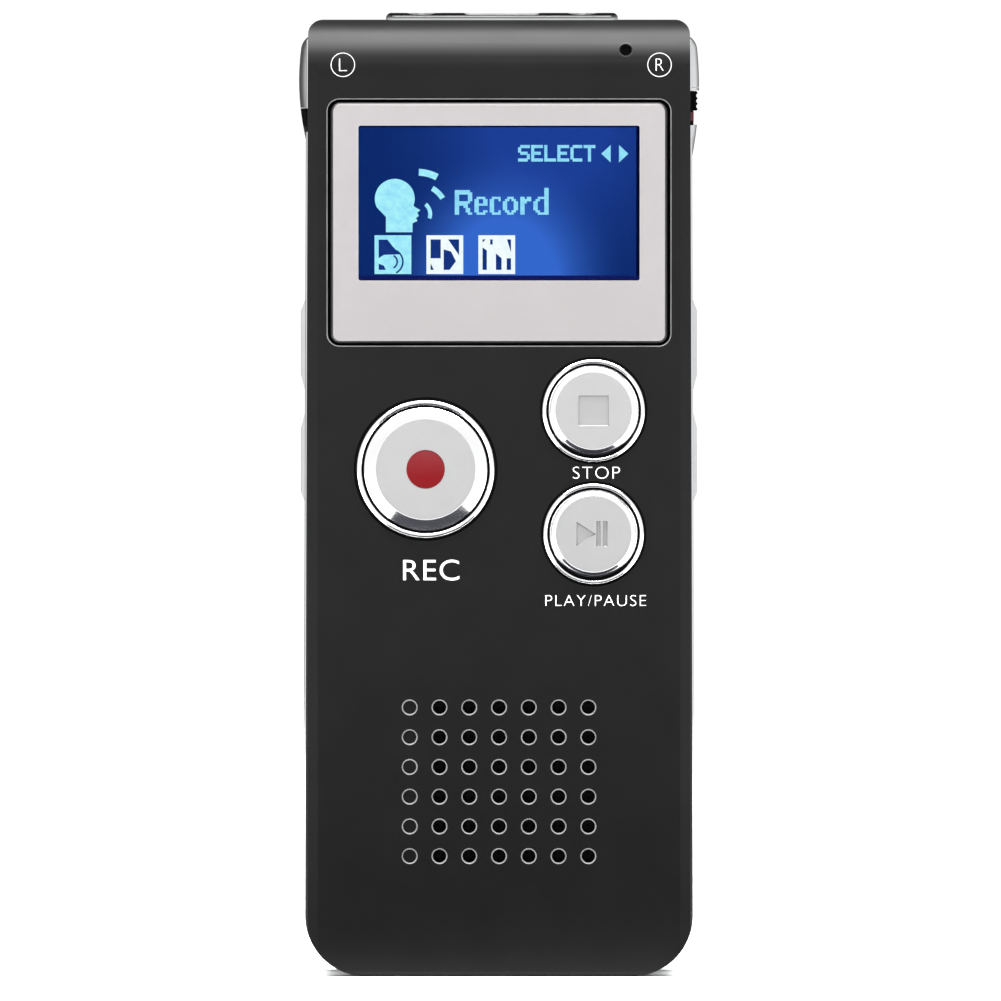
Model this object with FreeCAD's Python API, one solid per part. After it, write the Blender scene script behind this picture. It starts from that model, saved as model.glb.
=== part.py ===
import FreeCAD, Part
import math
import os
from FreeCAD import Vector

# Handheld voice recorder, standing on its foot. Millimetres: X to the right, Y to the back, Z up.
# The origin is the middle of the foot, halfway between the front and back faces.
# A black front cover, rolled back over the top, and a black rear cover close on a chromed U-shaped
# frame that stands a little proud all round. Inside are the display, the board and what it carries,
# the loudspeaker, the cell and the two microphones.

# ---- case ----
CASE_DEPTH = 12.0
FRONT = -CASE_DEPTH / 2
BACK = CASE_DEPTH / 2
CASE_TOP = 97.3
FOOT_CORNER = 6.2
TOP_CORNER = 1.4
FOOT_HALF_WIDTH = 19.77
SIDE_TAPER = 0.0036  # half width lost for each mm of height
ROLL = 5.6  # radius of the front cover's roll over the top
ROLL_END = FRONT + ROLL  # where the roll is level, and the front cover ends
BACK_ROUND = 1.0
COVER_WALL = 0.8
BACK_WALL = 1.0
FACET_START = 18.45  # the front cover's long edges fall away from here
FACET_END = (19.5, FRONT + 0.2)
FACET_BREAK = (19.85, FRONT + 0.6)

# ---- chromed frame ----
FRAME_PROUD = 0.2
FRAME_HALF_DEPTH = 3.35
FRAME_WALL = 1.4  # from the covers' outside inwards
FRAME_ROUND = 0.45
SEAM = 0.05
FRAME_TOP = 95.7
FRAME_TOP_CHAMFER = 0.5
TONGUE_DEPTH = 4.6
TONGUE_TOP = 92.5
LEFT_DOME = {"radius": 26.0, "crown": 91.1, "seam": 88.3}  # the curve's radius, its widest point, its cap's foot
RIGHT_DOME = {"radius": 37.6, "crown": 90.6, "seam": 90.4}
DOME_PROUD = 0.75
DOME_AXIS_IN = 3.9  # the dome's axis of turning, in from the frame's face
CAP_POCKET = 0.8
CAP_ROUND = 1.3
STRAP_SLOT = (86.45, 88.3)
STRAP_SLOT_DEPTH = 1.2
MIC_Z = 92.6

# ---- display window ----
WINDOW_Z = (64.23, 89.26)
WINDOW_HALF = 17.43
WINDOW_CORNER = 1.2
BEZEL_GAP = (0.3, 0.21, 0.29)  # beside, below and above the bezel
BEZEL_PROUD = 0.12
BEZEL_BACK = FRONT + 0.78
VIEW_HALF = 14.3
VIEW_Z = (70.85, 86.61)
CELL_HALF = 15.5
CELL_Z = (68.9, 88.4)

# ---- front keys: centre x, z, cap radius, ring inner and outer radius, cover hole, inlay radius ----
REC = {"x": -7.46, "z": 51.68, "cap": 6.25, "ring": (6.48, 7.03), "hole": 7.27, "inlay": 5.06}
STOP = {"x": 9.62, "z": 57.63, "cap": 4.6, "ring": (4.78, 5.24), "hole": 5.42, "inlay": 3.86}
PLAY = {"x": 9.62, "z": 45.1, "cap": 4.5, "ring": (4.68, 5.14), "hole": 5.32, "inlay": 3.82}
KEYS = {"rec": REC, "stop": STOP, "play": PLAY}
RING_FRONT = FRONT - 0.42
CAP_CROWN = FRONT - 0.85
CAP_EDGE = FRONT - 0.28
INLAY_DEPTH = 0.4
DOT_RADIUS = 1.96
ICON_DEPTH = 0.22
FLANGE_OUT = 0.9  # a ring's flange past its tube
CHASSIS = (FRONT + 0.85, FRONT + 1.65)
CAP_FLANGE = (FRONT + 1.75, FRONT + 2.15)
KEY_LIP = 0.65
PLUNGER_TOP = FRONT + 2.32
KEY_TRAVEL = 0.3

# ---- side rockers ----
ROCKER_Z = 58.45
ROCKER_HALF = 10.2
ROCKER_HALF_DEPTH = 1.85
ROCKER_SLACK = 0.12
ROCKER_PROUD = 0.42
ROCKER_PIVOT_X = 17.1
ROCKER_PLUNGER = 6.85
PIN_RADIUS = 0.5

# ---- hold switch ----
HOLD_SLOT = (86.6, 90.1)
HOLD_FLOOR = 19.35
HOLD_LINER = 19.8
HOLD_KNOB = (88.08, 90.03)
HOLD_TRAVEL = 1.35

# ---- loudspeaker grille ----
GRILLE_Z = 19.84
GRILLE_PITCH = 3.03
GRILLE_COLUMNS = 7
GRILLE_ROWS = 6
GRILLE_HOLE = 0.68
GRILLE_RIM = 0.13
DIMPLE_DEPTH = 0.3
SPEAKER_RADIUS = 11.5

# ---- top end ----
PLATE_X = 0.3  # the row of sockets sits a little to the right of the middle
PLATE_HALF = 11.82
PLATE_Y = (ROLL_END + SEAM, 4.65)
PLATE_TOP = 98.0
JACK_X = 8.2
JACK_Y = 2.15
JACK_BORE = 1.8
JACK_LENGTH = 12.2
NOZZLE = 2.15
PORT_HALF = 3.85
PORT_Y = (0.0, 3.9)
PORT_WALL = 0.35
SOCKET_END = PLATE_TOP - 0.4  # the jacks' and the port's mouths
LED_X = 12.88
LED_Z = 94.3
LED_HOLE = 0.6
LED_LENS = 0.7
LED_LENS_Z = 93.95

# ---- board, screws ----
BOARD = (-1.4, -0.4)
BOARD_HALF = 15.9
BOARD_Z = (33.5, 95.2)
SCREWS = [(-14.0, 91.6), (14.0, 91.6), (-15.2, 8.5), (15.2, 8.5)]
BOSS = 1.8
BOSS_END = 3.1
SCREW = 0.8


def box(x0, x1, y0, y1, z0, z1):
    return Part.makeBox(x1 - x0, y1 - y0, z1 - z0, Vector(x0, y0, z0))


def rod_x(y, z, radius, x0, x1):
    return Part.makeCylinder(radius, x1 - x0, Vector(x0, y, z), Vector(1, 0, 0))


def rod_y(x, z, radius, y0, y1):
    return Part.makeCylinder(radius, y1 - y0, Vector(x, y0, z), Vector(0, 1, 0))


def rod_z(x, y, radius, z0, z1):
    return Part.makeCylinder(radius, z1 - z0, Vector(x, y, z0), Vector(0, 0, 1))


def joined(shapes):
    """One shape fused from several, with the seams between coplanar faces removed."""
    first, *rest = shapes
    return first.multiFuse(rest).removeSplitter() if rest else first


def closed_face(steps):
    """A flat face whose outline visits the steps. A step is a point, or (middle, end) of an arc."""
    edges = []
    here = steps[0]
    for step in steps[1:] + [steps[0]]:
        if isinstance(step, tuple):
            middle, end = step
            edges.append(Part.Arc(here, middle, end).toShape())
        else:
            end = step
            edges.append(Part.LineSegment(here, end).toShape())
        here = end
    return Part.Face(Part.Wire(edges))


def prism_x(outline, x0, x1):
    """The (y, z) polygon, drawn out from x0 to x1."""
    return closed_face([Vector(x0, y, z) for y, z in outline]).extrude(Vector(x1 - x0, 0, 0))


def prism_y(outline, y0, y1):
    """The (x, z) polygon, drawn out from y0 to y1."""
    return closed_face([Vector(x, y0, z) for x, z in outline]).extrude(Vector(0, y1 - y0, 0))


def prism_z(outline, z0, z1):
    """The (x, y) polygon, drawn out from z0 to z1."""
    return closed_face([Vector(x, y, z0) for x, y in outline]).extrude(Vector(0, 0, z1 - z0))


def turned_y(profile, x, z):
    """A (radius, y) profile, turned about the line along Y through x, z. Pairs of pairs are arcs."""
    steps = []
    for step in profile:
        if isinstance(step[0], tuple):
            steps.append(tuple(Vector(x + r, y, z) for r, y in step))
        else:
            steps.append(Vector(x + step[0], step[1], z))
    return closed_face(steps).revolve(Vector(x, 0, z), Vector(0, 1, 0), 360)


def edges_along(shape, direction, keep=lambda middle: True):
    """The straight edges along a direction whose middle point the test keeps."""
    found = []
    for edge in shape.Edges:
        if edge.Curve.TypeId == "Part::GeomLine":
            if abs(edge.Curve.Direction.dot(direction)) > 0.99 and keep(edge.CenterOfMass):
                found.append(edge)
    return found


def edges_in_plane_y(shape, y, keep=lambda middle: True):
    """The edges that lie wholly in the plane at y and whose middle point the test keeps."""
    found = []
    for edge in shape.Edges:
        bounds = edge.BoundBox
        if abs(bounds.YMin - y) < 1e-4 and abs(bounds.YMax - y) < 1e-4 and keep(edge.CenterOfMass):
            found.append(edge)
    return found


def rounded_y(x0, x1, z0, z1, corner, y0, y1):
    """A rectangle with round corners, drawn out from y0 to y1."""
    solid = box(x0, x1, y0, y1, z0, z1)
    return solid.makeFillet(corner, edges_along(solid, Vector(0, 1, 0)))


def mirrored(shape):
    return shape.mirror(Vector(0, 0, 0), Vector(1, 0, 0))


def tube(points, radius):
    """A wire along straight runs joined by arcs as large as the runs allow."""
    points = [Vector(*p) for p in points]
    edges = []
    start = points[0]
    for before, corner, after in zip(points, points[1:], points[2:]):
        back = before - corner
        on = after - corner
        turn = math.pi - back.getAngle(on)
        reach = 0.45 * min(back.Length, on.Length)
        back.normalize()
        on.normalize()
        arc_radius = reach / math.tan(turn / 2)
        half_way = (back + on).normalize()
        middle = corner + half_way * (arc_radius / math.cos(turn / 2) - arc_radius)
        edges.append(Part.LineSegment(start, corner + back * reach).toShape())
        edges.append(Part.Arc(corner + back * reach, middle, corner + on * reach).toShape())
        start = corner + on * reach
    edges.append(Part.LineSegment(start, points[-1]).toShape())
    path = Part.Wire(edges)
    along = points[1] - points[0]
    section = Part.Wire(Part.makeCircle(radius, points[0], along))
    return path.makePipeShell([section], True, True)


# ---- case and frame ----
def half_width(z, inset=0.0):
    return FOOT_HALF_WIDTH - SIDE_TAPER * z - inset


def case_prism(inset, y0, y1):
    """The case's front outline, moved in by inset, drawn out from y0 to y1."""
    low = max(inset, 0.0)
    high = CASE_TOP - inset
    corners = [
        (-half_width(low, inset), low),
        (half_width(low, inset), low),
        (half_width(high, inset), high),
        (-half_width(high, inset), high),
    ]
    solid = prism_y(corners, y0, y1)
    along_y = Vector(0, 1, 0)
    solid = solid.makeFillet(FOOT_CORNER - inset, edges_along(solid, along_y, lambda m: m.z < 10))
    top_corner = max(TOP_CORNER - inset, 0.3)
    return solid.makeFillet(top_corner, edges_along(solid, along_y, lambda m: m.z > 90))


def roll_prism(inset, foot_round):
    """A block with the roll over the front of its top, to give that to what it is crossed with."""
    solid = box(-30, 30, FRONT + inset, BACK + 1, -2, CASE_TOP - inset)
    front_top = edges_along(solid, Vector(1, 0, 0), lambda m: m.y < 0 and m.z > 50)
    solid = solid.makeFillet(ROLL - inset, front_top)
    foot = box(-30, 30, FRONT + inset, BACK + 1, inset, CASE_TOP)
    front_foot = edges_along(foot, Vector(1, 0, 0), lambda m: m.y < 0 and m.z < 50)
    return solid.common(foot.makeFillet(foot_round, front_foot))


def case_outside():
    """The two covers' outside as one solid."""
    solid = case_prism(0, FRONT, BACK)
    solid = solid.makeFillet(BACK_ROUND, edges_in_plane_y(solid, BACK))
    right_facet = [(FACET_START, FRONT), FACET_END, FACET_BREAK]
    left_facet = [(-x, y) for x, y in reversed(right_facet)]
    plan = left_facet + right_facet + [(FACET_BREAK[0], BACK + 1), (-FACET_BREAK[0], BACK + 1)]
    return solid.common(roll_prism(0, 0.5)).common(prism_z(plan, -1, CASE_TOP + 1))


def case_inside(inset, back_wall):
    """The space inside the covers, moved in by inset, and by back_wall at the back."""
    return case_prism(inset, FRONT + inset, BACK - back_wall).common(roll_prism(inset, 0.3))


def front_region():
    skirt = box(-30, 30, FRONT - 1, -FRAME_HALF_DEPTH - SEAM, -1, CASE_TOP + 1)
    over_top = box(-30, 30, FRONT - 1, ROLL_END, FRAME_TOP + SEAM, CASE_TOP + 1)
    return joined([skirt, over_top])


def rear_region():
    skirt = box(-30, 30, FRAME_HALF_DEPTH + SEAM, BACK + 1, -1, CASE_TOP + 1)
    over_top = box(-30, 30, ROLL_END + SEAM, BACK + 1, FRAME_TOP + SEAM, CASE_TOP + 1)
    return joined([skirt, over_top])


def grille_holes():
    """(through holes, blind dimples): the column at the left is only dimpled."""
    through, blind = [], []
    for column in range(GRILLE_COLUMNS):
        x = (column - (GRILLE_COLUMNS - 1) / 2) * GRILLE_PITCH
        for row in range(GRILLE_ROWS):
            z = GRILLE_Z + (row - (GRILLE_ROWS - 1) / 2) * GRILLE_PITCH
            depth = DIMPLE_DEPTH if column == 0 else COVER_WALL + 1
            profile = [
                (0, FRONT - 0.1),
                (GRILLE_HOLE + GRILLE_RIM, FRONT - 0.1),
                (GRILLE_HOLE + GRILLE_RIM, FRONT),
                (GRILLE_HOLE, FRONT + GRILLE_RIM),
                (GRILLE_HOLE, FRONT + depth),
                (0, FRONT + depth),
            ]
            (blind if column == 0 else through).append(turned_y(profile, x, z))
    return through, blind


def rimmed_hole(x, z, radius, rim=0.06):
    """A cutter for a hole through the front cover with a fine chamfer at its mouth."""
    profile = [(0, FRONT - 1), (radius + rim, FRONT - 1), (radius + rim, FRONT),
               (radius, FRONT + rim), (radius, FRONT + 2), (0, FRONT + 2)]
    return turned_y(profile, x, z)


def led_hole():
    """The cutter for the lamp's hole, square to the roll, flared where it meets the surface."""
    lean = math.asin((LED_Z - (CASE_TOP - ROLL)) / ROLL)
    flare = 0.12
    profile = [(0, -0.5), (LED_HOLE + flare + 0.5, -0.5), (LED_HOLE, flare), (LED_HOLE, 1.5), (0, 1.5)]
    solid = turned_y(profile, 0, 0)
    solid.rotate(Vector(0, 0, 0), Vector(1, 0, 0), -math.degrees(lean))
    solid.translate(Vector(LED_X, ROLL_END - ROLL * math.cos(lean), LED_Z))
    return solid


def front_cover():
    solid = case_outside().cut(case_inside(COVER_WALL, BACK_WALL)).common(front_region())
    window = rounded_y(-WINDOW_HALF, WINDOW_HALF, *WINDOW_Z, WINDOW_CORNER, FRONT - 1, FRONT + 2)
    solid = solid.cut(window)

    def at_window(middle):
        beside = abs(middle.x) < WINDOW_HALF + 0.1
        return beside and WINDOW_Z[0] - 0.1 < middle.z < WINDOW_Z[1] + 0.1

    solid = solid.makeChamfer(0.1, edges_in_plane_y(solid, FRONT, at_window))
    through, blind = grille_holes()
    holes = [rimmed_hole(key["x"], key["z"], key["hole"]) for key in KEYS.values()]
    holes.append(led_hole())
    return solid.cut(through + blind + holes)


def rear_cover():
    solid = case_outside().cut(case_inside(BACK_WALL, BACK_WALL)).common(rear_region())
    bosses = [rod_y(x, z, BOSS + 0.3, BOSS_END + 0.1, BACK - BACK_WALL) for x, z in SCREWS]
    solid = joined([solid] + bosses)
    reach = PLATE_HALF + SEAM
    cutters = [box(PLATE_X - reach, PLATE_X + reach, -1, PLATE_Y[1] + SEAM, 96, 98)]
    for x, z in SCREWS:
        cutters.append(rod_y(x, z, 1.45, BACK - 1.0, BACK + 1))
        cutters.append(rod_y(x, z, SCREW + 0.08, BOSS_END - 1, BACK))
    return solid.cut(cutters)


def frame_face(z):
    """Where the frame's right outer face is at that height."""
    return half_width(z) + FRAME_PROUD


def dome(curve, low, high, top_round=0.0):
    """A dome on the right shoulder between two heights: a spindle turned about an upright axis.

    With a top_round, it turns inwards over its last stretch up to the frame's top.
    """
    face = frame_face(curve["crown"])
    axis_x = face - DOME_AXIS_IN
    widest = DOME_AXIS_IN + DOME_PROUD

    def radius(z):
        bend = curve["radius"]
        return widest - bend + math.sqrt(bend**2 - (z - curve["crown"]) ** 2)

    def at(r, z):
        return Vector(axis_x + r, 0, z)

    z0 = curve["crown"] - 10
    z1 = FRAME_TOP - top_round if top_round else curve["crown"] + 6.5
    steps = [at(0, z0), at(radius(z0), z0), (at(widest, curve["crown"]), at(radius(z1), z1))]
    if top_round:
        shoulder = radius(z1)
        steps.append((at(shoulder - 0.235 * top_round, z1 + 0.59 * top_round),
                      at(shoulder - 0.72 * top_round, FRAME_TOP)))
    steps.append(at(0, FRAME_TOP if top_round else z1))
    spindle = closed_face(steps).revolve(Vector(axis_x, 0, 0), Vector(0, 0, 1), 360)
    return spindle.common(box(face - CAP_POCKET, face + 2, -3, 3, low, high))


def sound_holes():
    """Cutters along X through the right shoulder into its microphone."""
    return [rod_x(0.8, MIC_Z + rise, 0.3, 16.5, 22) for rise in (-1.0, 0.0, 1.0)]


def mic_cap(curve):
    return dome(curve, curve["seam"] + SEAM, FRAME_TOP, CAP_ROUND).cut(sound_holes())


def frame_half_cutters(curve):
    """What is cut from each side of the frame, drawn for the right side."""
    window = box(17, 22, -ROCKER_HALF_DEPTH - ROCKER_SLACK, ROCKER_HALF_DEPTH + ROCKER_SLACK,
                 ROCKER_Z - ROCKER_HALF - ROCKER_SLACK, ROCKER_Z + ROCKER_HALF + ROCKER_SLACK)
    return [window, dome(curve, curve["seam"], FRAME_TOP + 1)] + sound_holes()


def rocker_ears():
    """The two lugs inside the right wall that hold a rocker's pin."""
    inner = half_width(ROCKER_Z, FRAME_WALL) + 0.3
    ears = []
    for y0, y1 in ((-3.3, -2.55), (2.55, 3.3)):
        ear = box(ROCKER_PIVOT_X - 0.8, inner, y0, y1, ROCKER_Z - 1.2, ROCKER_Z + 1.2)
        ears.append(ear.cut(rod_y(ROCKER_PIVOT_X, ROCKER_Z, PIN_RADIUS, y0 - 1, y1 + 1)))
    return ears


def mid_frame():
    band = case_prism(-FRAME_PROUD, -FRAME_HALF_DEPTH, FRAME_HALF_DEPTH)
    rims = edges_in_plane_y(band, -FRAME_HALF_DEPTH) + edges_in_plane_y(band, FRAME_HALF_DEPTH)
    band = band.makeFillet(FRAME_ROUND, rims)
    tongue = case_prism(BACK_WALL + SEAM, -TONGUE_DEPTH, TONGUE_DEPTH)
    tongue = tongue.common(box(-30, 30, -6, 6, -1, TONGUE_TOP))
    hollow = case_prism(FRAME_WALL, -6, 6).common(box(-30, 30, -6, 6, -1, 120))
    ring = joined([band, tongue]).cut(hollow).cut(box(-30, 30, -6, 6, FRAME_TOP, 120))
    domes = [dome(RIGHT_DOME, 81, RIGHT_DOME["seam"]), mirrored(dome(LEFT_DOME, 82, LEFT_DOME["seam"]))]
    ears = rocker_ears()
    ring = joined([ring] + domes + ears + [mirrored(ear) for ear in ears])
    cutters = frame_half_cutters(RIGHT_DOME)
    cutters += [mirrored(cutter) for cutter in frame_half_cutters(LEFT_DOME)]
    cutters.append(box(HOLD_FLOOR, 22, -4, 4, *HOLD_SLOT))
    cutters.append(hold_neck_slot(16))
    cutters.append(frame_top_corner())
    cutters.append(mirrored(frame_top_corner()))
    cutters.append(strap_notch())
    cutters.append(strap_bar())
    return ring.cut(cutters)


def frame_top_corner():
    """What chamfers the top end of the frame's right side."""
    face = frame_face(FRAME_TOP)
    drop = FRAME_TOP_CHAMFER
    outline = [
        (face - drop, FRAME_TOP),
        (face + 1, FRAME_TOP + 1),
        (face + 1, FRAME_TOP - drop),
        (face, FRAME_TOP - drop),
    ]
    return prism_y(outline, -4, 4)


def strap_notch():
    """The pocket in the left side that a strap's cord goes into and out of, round its bar."""
    low, high = STRAP_SLOT
    return box(-22, -frame_face(low) + STRAP_SLOT_DEPTH, -4, 4, low, high + SEAM / 2)


def strap_bar():
    """The upright bar across the pocket, as far out as the dome, with a stub sunk in the frame."""
    low, high = STRAP_SLOT
    inner = frame_face(low) - 0.45
    bar = dome(LEFT_DOME, low, high - 0.02).common(box(inner, 22, -2.0, 2.0, low, high))
    return mirrored(joined([bar, rod_z(inner + 0.3, 0, 0.22, low - 0.5, low + 0.1)]))


# ---- inner chassis, window and display ----
def inner_chassis():
    """The plate behind the front cover: it seats the window, display, rings and loudspeaker."""
    plate = case_prism(FRAME_WALL + 0.1, *CHASSIS).common(box(-30, 30, -6, 6, 1.0, 93.6))
    plate = plate.common(case_inside(COVER_WALL + 0.06, BACK_WALL))
    bosses = [rod_y(x, z, BOSS, CHASSIS[0] + 0.3, BOSS_END) for x, z in SCREWS]
    inside = case_inside(COVER_WALL + 0.06, BACK_WALL)
    solid = joined([plate] + bosses).common(inside)
    cutters = [rod_y(x, z, SCREW + 0.02, -2.0, BOSS_END + 1) for x, z in SCREWS]
    slack = 0.2
    cell = (-CELL_HALF - slack, CELL_HALF + slack, -6, 0, CELL_Z[0] - slack, CELL_Z[1] + slack)
    cutters.append(box(*cell))
    cutters.append(rod_y(0, GRILLE_Z, SPEAKER_RADIUS + 0.25, -6, 0))
    cutters.append(speaker_cloth(0.15, -5.03))
    for key in KEYS.values():
        cutters.append(rod_y(key["x"], key["z"], key["ring"][1] + FLANGE_OUT + 0.05, -6, 0))
    cutters.append(rod_y(LED_X, LED_LENS_Z, LED_LENS + 0.15, -6, 0))
    return solid.cut(cutters)


def window_bezel():
    beside, below, above = BEZEL_GAP
    front = FRONT - BEZEL_PROUD
    solid = rounded_y(-WINDOW_HALF + beside, WINDOW_HALF - beside, WINDOW_Z[0] + below,
                      WINDOW_Z[1] - above, WINDOW_CORNER - 0.2, front, BEZEL_BACK)
    solid = solid.makeChamfer(0.28, edges_in_plane_y(solid, front))
    return solid.cut(rounded_y(-VIEW_HALF, VIEW_HALF, *VIEW_Z, 0.22, FRONT - 1, FRONT + 2))


def window_lens():
    slack = 0.02
    return rounded_y(-VIEW_HALF + slack, VIEW_HALF - slack, VIEW_Z[0] + slack, VIEW_Z[1] - slack,
                     0.2, FRONT - BEZEL_PROUD + 0.02, BEZEL_BACK)


def lcd_glass():
    return box(-CELL_HALF, CELL_HALF, BEZEL_BACK + 0.07, -3.75, *CELL_Z)


def lcd_frame():
    """A pressed tray that holds the light guide behind the glass."""
    tray = box(-CELL_HALF, CELL_HALF, -3.72, -1.5, *CELL_Z)
    wall = 0.3
    return tray.cut(box(-CELL_HALF + wall, CELL_HALF - wall, -4, -1.5 - wall,
                        CELL_Z[0] + wall, CELL_Z[1] - wall))


def lcd_backlight():
    wall = 0.34
    return box(-CELL_HALF + wall, CELL_HALF - wall, -3.7, -1.84, CELL_Z[0] + wall, CELL_Z[1] - wall)


def lcd_flex():
    """The ribbon from the foot of the glass to the board."""
    down = box(-6, 6, -4.3, -4.15, 67.0, CELL_Z[0])
    across = box(-6, 6, -4.3, BOARD[0] - 0.02, 67.0, 67.15)
    along = box(-6, 6, BOARD[0] - 0.17, BOARD[0] - 0.02, 64.8, 67.15)
    return joined([down, across, along])


# ---- front keys ----
def key_ring(key):
    inner, outer = key["ring"]
    middle = (inner + outer) / 2
    shoulder = RING_FRONT + 0.22
    profile = [
        (inner, shoulder),
        ((middle, RING_FRONT), (outer, shoulder)),
        (outer, CHASSIS[0]),
        (outer + FLANGE_OUT, CHASSIS[0]),
        (outer + FLANGE_OUT, CHASSIS[1]),
        (inner, CHASSIS[1]),
    ]
    return turned_y(profile, key["x"], key["z"])


def key_cap(key):
    cap, inlay = key["cap"], key["inlay"]
    rim = inlay + 0.1
    hollow = cap - 0.75
    floor = CAP_CROWN + INLAY_DEPTH
    half_way = ((rim + cap) / 2 + 0.04, (CAP_CROWN + CAP_EDGE) / 2 - 0.06)
    profile = [
        (0, floor),
        (inlay + 0.01, floor),
        (inlay + 0.01, CAP_CROWN),
        (rim, CAP_CROWN),
        (half_way, (cap, CAP_EDGE)),
        (cap, CAP_FLANGE[0]),
        (cap + KEY_LIP, CAP_FLANGE[0]),
        (cap + KEY_LIP, CAP_FLANGE[1]),
        (hollow, CAP_FLANGE[1]),
        (hollow, FRONT + 0.1),
        (1.3, FRONT + 0.1),
        (1.3, PLUNGER_TOP),
        (0, PLUNGER_TOP),
    ]
    return turned_y(profile, key["x"], key["z"])


def key_inlay(key, cutters):
    disc = rod_y(key["x"], key["z"], key["inlay"], CAP_CROWN + 0.01, CAP_CROWN + INLAY_DEPTH)
    return disc.cut(cutters)


def rec_dot():
    edge = CAP_CROWN + 0.05
    profile = [(0, CAP_CROWN - 0.05), ((DOT_RADIUS * 0.6, CAP_CROWN - 0.02), (DOT_RADIUS, edge)),
               (DOT_RADIUS, CAP_CROWN + INLAY_DEPTH), (0, CAP_CROWN + INLAY_DEPTH)]
    return turned_y(profile, REC["x"], REC["z"])


def icon_span():
    return (CAP_CROWN - 0.1, CAP_CROWN + 0.01 + ICON_DEPTH)


def drafted(cutter, draft=0.09):
    """A cutter whose deep end narrows, so that the walls of what it cuts lean outwards."""
    return cutter.makeChamfer(draft, edges_in_plane_y(cutter, icon_span()[1]))


def stop_icon():
    half = 1.55
    x, z = STOP["x"], STOP["z"]
    return [drafted(box(x - half, x + half, *icon_span(), z - half, z + half))]


def play_icon():
    """A triangle pointing at two bars, all sunk in the inlay."""
    x, z = PLAY["x"], PLAY["z"]
    triangle = prism_y([(x - 1.75, z - 1.25), (x + 0.2, z), (x - 1.75, z + 1.25)], *icon_span())
    bars = [box(x + left, x + left + 0.42, *icon_span(), z - 1.3, z + 1.3) for left in (0.28, 0.98)]
    return [drafted(triangle)] + [drafted(bar, 0.08) for bar in bars]


def plunger(key):
    return rod_y(key["x"], key["z"], 1.0, PLUNGER_TOP, PLUNGER_TOP + 1.25)


def front_tact_switches():
    bodies = []
    for key in KEYS.values():
        x, z = key["x"], key["z"]
        body = box(x - 2.6, x + 2.6, PLUNGER_TOP + 0.65, BOARD[0] - 0.02, z - 2.6, z + 2.6)
        bodies.append(body.cut(rod_y(x, z, 1.1, PLUNGER_TOP, PLUNGER_TOP + 1.7)))
    return Part.makeCompound(bodies)


# ---- side rockers ----
def rocker(marks):
    """The right rocker: two raised pads with a dip between, a flange inside and a pin lug."""
    face = frame_face(ROCKER_Z)
    proud, half = ROCKER_PROUD, ROCKER_HALF
    upper = [(0.05, half), (proud, half - 0.95), (proud, 2.7), (0.02, 1.15)]
    outer = upper + [(u, -z) for u, z in reversed(upper)]
    inner = -1.9
    outline = [(face + u, ROCKER_Z + z) for u, z in [(inner, half)] + outer + [(inner, -half)]]
    pad = prism_y(outline, -ROCKER_HALF_DEPTH, ROCKER_HALF_DEPTH)
    long_edges = edges_along(pad, Vector(0, 0, 1), lambda m: m.x > face + proud - 0.1)
    pad = pad.makeFillet(0.2, long_edges)
    flange = box(face - 2.36, face + inner, -2.4, 2.4, ROCKER_Z - half - 0.6, ROCKER_Z + half + 0.6)
    lug = box(ROCKER_PIVOT_X - 0.9, face - 2.3, -2.3, 2.3, ROCKER_Z - 1.3, ROCKER_Z + 1.3)
    solid = joined([pad, flange, lug])
    bore = rod_y(ROCKER_PIVOT_X, ROCKER_Z, PIN_RADIUS + 0.03, -3, 3)
    return solid.cut([bore] + marks)


def mark_span():
    """The x span of a mark sunk in the right rocker's pads."""
    face = frame_face(ROCKER_Z) + ROCKER_PROUD
    return (face - 0.12, face + 0.5)


def volume_marks():
    """A plus on the upper pad and a minus on the lower, drawn for the right side."""
    z = ROCKER_Z + ROCKER_HALF / 2 + 0.9
    low = ROCKER_Z - ROCKER_HALF / 2 - 0.9
    return [
        box(*mark_span(), -0.8, 0.8, z - 0.16, z + 0.16),
        box(*mark_span(), -0.16, 0.16, z - 0.8, z + 0.8),
        box(*mark_span(), -0.8, 0.8, low - 0.16, low + 0.16),
    ]


def track_marks():
    """A pair of arrow heads on each pad, pointing away from the middle."""
    marks = []
    for side in (1, -1):
        middle = ROCKER_Z + side * (ROCKER_HALF / 2 + 0.9)
        for step in (-0.75, 0.15):
            base = middle + side * step
            head = [(-0.65, base), (0.65, base), (0.0, base + side * 0.8)]
            marks.append(prism_x(head, *mark_span()))
    return marks


def rocker_plungers():
    """The stems of the two switches behind the right rocker."""
    end = frame_face(ROCKER_Z) - 2.36
    stems = [rod_x(0.5, ROCKER_Z + dz, 0.55, 15.6, end) for dz in (-ROCKER_PLUNGER, ROCKER_PLUNGER)]
    return Part.makeCompound(stems)


def rocker_pins():
    pin = rod_y(ROCKER_PIVOT_X, ROCKER_Z, PIN_RADIUS, -3.3, 3.3)
    return Part.makeCompound([pin, mirrored(pin)])


def side_tact_switches():
    bodies = []
    for dz in (-ROCKER_PLUNGER, ROCKER_PLUNGER):
        z = ROCKER_Z + dz
        body = box(13.4, 16.35, BOARD[1] + 0.02, 1.35, z - 2.2, z + 2.2)
        body = body.cut(rod_x(0.5, z, 0.66, 15.3, 17))
        bodies += [body, mirrored(body)]
    return Part.makeCompound(bodies)


# ---- hold switch ----
def hold_neck_slot(x0):
    return box(x0, 22, -0.65, 0.65, 87.1, 89.65)


def hold_mark():
    """Two red blocks, one each side of the slot, that the knob covers when it is down."""
    blocks = []
    for y0, y1 in ((-3.3, -0.85), (0.85, 3.3)):
        blocks.append(box(HOLD_LINER - 0.3, HOLD_LINER + 0.02, y0, y1, 87.05, 87.95))
    return Part.makeCompound(blocks)


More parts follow.
